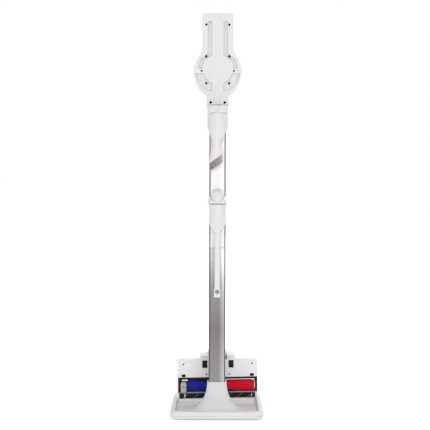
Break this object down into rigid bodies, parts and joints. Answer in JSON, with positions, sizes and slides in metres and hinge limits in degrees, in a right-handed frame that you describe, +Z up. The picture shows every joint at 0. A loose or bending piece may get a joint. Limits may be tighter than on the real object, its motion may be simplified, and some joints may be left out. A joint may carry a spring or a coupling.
{
  "type": "cordless stick vacuum on charging stand",
  "caption": "Cordless stick vacuum docked on a free-standing charging stand, with a weighted tray base, brushed column and two stored cleaning tools behind it.",
  "frame": {"origin": "middle of the stand's base on the floor, at the underside of its central rubber pad", "axes": "+Z up along the column and wand; the vacuum hangs on the +Y side of the dock, the stored tools on the -Y side; X runs across the floor head"},
  "size_m": [0.276, 0.3371, 1.2181],
  "materials": {
    "zinc_steel": "zinc plated",
    "white_plastic": "fine satin texture",
    "dark_plastic": "satin",
    "grey_plastic": "satin",
    "white_gloss": "smooth satin gloss",
    "cream_plastic": "satin",
    "brush_fleece": "plush pile, blue and red halves",
    "bristle_grey": "fine soft bristles",
    "black_plastic": "satin",
    "green_board": "solder mask",
    "brushed_aluminium": "brushed along its length",
    "brass": "polished contact metal",
    "cast_aluminium": "as cast",
    "black_rubber": "matt",
    "clear_plastic": "clear, slightly smoky",
    "black_fleece": "short pile with raised threads",
    "filter_foam": "pleated felt"
  },
  "bodies": {
    "stand": {"base_tray": "white_plastic", "ballast_plate": "zinc_steel", "rubber_foot_ring": "black_rubber", "rubber_foot_pad": "black_rubber", "column_foot_bracket": "zinc_steel", "column_lower": "brushed_aluminium", "column_upper": "brushed_aluminium", "column_joiner": "zinc_steel", "dock_rear_cover": "white_plastic", "dock_front_cover": "white_plastic", "dc_inlet": "black_plastic", "charger_board": "green_board", "dock_rail": "grey_plastic", "contact_pin_left": "brass", "contact_pin_right": "brass", "dock_bumper": "black_rubber", "dock_neck_sleeve": "white_plastic", "tool_socket": "white_plastic", "crevice_holder": "white_plastic"},
    "tool_button": {"tool_release_button": "white_plastic"},
    "brush_tool": {"brush_tool_body": "white_plastic", "brush_tool_bristles": "bristle_grey"},
    "crevice": {"crevice_tool": "white_plastic"},
    "hand_unit": {"inlet_duct": "white_gloss", "dust_bin": "clear_plastic", "bin_hinge_pin": "zinc_steel", "cyclone_cone": "cast_aluminium", "motor_housing": "white_gloss", "pre_motor_filter": "filter_foam", "suction_motor": "cast_aluminium", "dock_shoe": "grey_plastic", "handle_shell_left": "white_gloss", "handle_shell_right": "white_gloss", "control_board": "green_board", "wand_tube": "white_gloss", "wand_lower_connector": "grey_plastic"},
    "bin_lid": {"bin_door": "white_gloss"},
    "bin_catch": {"bin_latch": "grey_plastic"},
    "fan": {"impeller": "zinc_steel"},
    "filter_cap": {"exhaust_filter_cap": "grey_plastic"},
    "trigger_key": {"trigger": "grey_plastic"},
    "mode_key": {"mode_button": "grey_plastic"},
    "battery": {"battery_pack": "grey_plastic"},
    "battery_key": {"battery_latch": "dark_plastic"},
    "wand_key": {"wand_release_button": "grey_plastic"},
    "head_key": {"head_release_button": "grey_plastic"},
    "neck": {"neck_elbow": "grey_plastic"},
    "head": {"head_top_shell": "white_plastic", "head_sole_plate": "white_plastic", "brush_window_frame": "black_plastic", "brush_end_cover": "cream_plastic", "front_roller_cap_left": "black_plastic", "front_roller_cap_right": "black_plastic", "brush_motor": "zinc_steel", "drive_belt": "black_rubber"},
    "brush": {"brush_roll": "brush_fleece"},
    "drive_pulley": {"motor_pulley": "brass"},
    "small_roller": {"front_roller": "black_fleece"},
    "left_wheel": {"wheel_left": "black_rubber"},
    "right_wheel": {"wheel_right": "black_rubber"}
  },
  "joints": [
    {"name": "vacuum_lift", "type": "slide", "parent": "stand", "child": "hand_unit", "axis": [0, 0, 1], "range_m": [0, 0.09]},
    {"name": "tool_button_press", "type": "slide", "parent": "stand", "child": "tool_button", "axis": [0, 1, 0], "range_m": [0, 0.002], "stiffness_N_per_m": 300},
    {"name": "brush_tool_slide", "type": "slide", "parent": "stand", "child": "brush_tool", "axis": [0, 0, -1], "range_m": [0, 0.04]},
    {"name": "crevice_tool_slide", "type": "slide", "parent": "stand", "child": "crevice", "axis": [0, 0, -1], "range_m": [0, 0.05]},
    {"name": "bin_door_hinge", "type": "hinge", "parent": "hand_unit", "child": "bin_lid", "pos_m": [0, 0.15, 0.996], "axis": [1, 0, 0], "range_deg": [0, 95]},
    {"name": "bin_latch_hinge", "type": "hinge", "parent": "hand_unit", "child": "bin_catch", "pos_m": [0.0484, 0.098, 1.024], "axis": [0, -1, 0], "range_deg": [0, 14], "stiffness_Nm_per_rad": 0.2},
    {"name": "impeller_spin", "type": "hinge", "parent": "hand_unit", "child": "fan", "pos_m": [0, 0.098, 1.0973], "axis": [0, 0, 1], "continuous": true},
    {"name": "filter_cap_twist", "type": "hinge", "parent": "hand_unit", "child": "filter_cap", "pos_m": [0, 0.098, 1.2061], "axis": [0, 0, 1], "range_deg": [0, 20]},
    {"name": "trigger_pull", "type": "hinge", "parent": "hand_unit", "child": "trigger_key", "pos_m": [0, 0.182, 1.1688], "axis": [1, 0, 0], "range_deg": [0, 8], "stiffness_Nm_per_rad": 0.2},
    {"name": "mode_button_press", "type": "slide", "parent": "hand_unit", "child": "mode_key", "axis": [0, -1, 0], "range_m": [0, 0.0012], "stiffness_N_per_m": 300},
    {"name": "battery_slide", "type": "slide", "parent": "hand_unit", "child": "battery", "axis": [0, 0, -1], "range_m": [0, 0.06]},
    {"name": "battery_latch_press", "type": "slide", "parent": "battery", "child": "battery_key", "axis": [0, -1, 0], "range_m": [0, 0.0015], "stiffness_N_per_m": 300},
    {"name": "wand_button_press", "type": "slide", "parent": "hand_unit", "child": "wand_key", "axis": [0, -1, 0], "range_m": [0, 0.0012], "stiffness_N_per_m": 300},
    {"name": "head_button_press", "type": "slide", "parent": "hand_unit", "child": "head_key", "axis": [0, -1, 0], "range_m": [0, 0.0012], "stiffness_N_per_m": 300},
    {"name": "neck_swivel", "type": "hinge", "parent": "hand_unit", "child": "neck", "pos_m": [0, 0.06, 0.226], "axis": [0, 0, 1], "range_deg": [-36, 24]},
    {"name": "head_pitch", "type": "hinge", "parent": "neck", "child": "head", "pos_m": [0, 0.06, 0.158], "axis": [0.9945, 0.1045, 0], "range_deg": [0, 90]},
    {"name": "brush_roll_spin", "type": "hinge", "parent": "head", "child": "brush", "pos_m": [0.00125, 0.04807, 0.0665], "axis": [0.9945, 0.1045, 0], "continuous": true},
    {"name": "motor_pulley_spin", "type": "hinge", "parent": "head", "child": "drive_pulley", "pos_m": [-0.10615, 0.03678, 0.122], "axis": [0.9945, 0.1045, 0], "continuous": true},
    {"name": "front_roller_spin", "type": "hinge", "parent": "head", "child": "small_roller", "pos_m": [0.0024, 0.03713, 0.0365], "axis": [0.9945, 0.1045, 0], "continuous": true},
    {"name": "wheel_left_spin", "type": "hinge", "parent": "head", "child": "left_wheel", "pos_m": [-0.03842, 0.03334, 0.1342], "axis": [0.9945, 0.1045, 0], "continuous": true},
    {"name": "wheel_right_spin", "type": "hinge", "parent": "head", "child": "right_wheel", "pos_m": [0.04313, 0.04191, 0.1342], "axis": [0.9945, 0.1045, 0], "continuous": true}
  ],
  "couplings": [
    {"joint": "motor_pulley_spin", "follows": "brush_roll_spin", "ratio": 1.88}
  ]
}
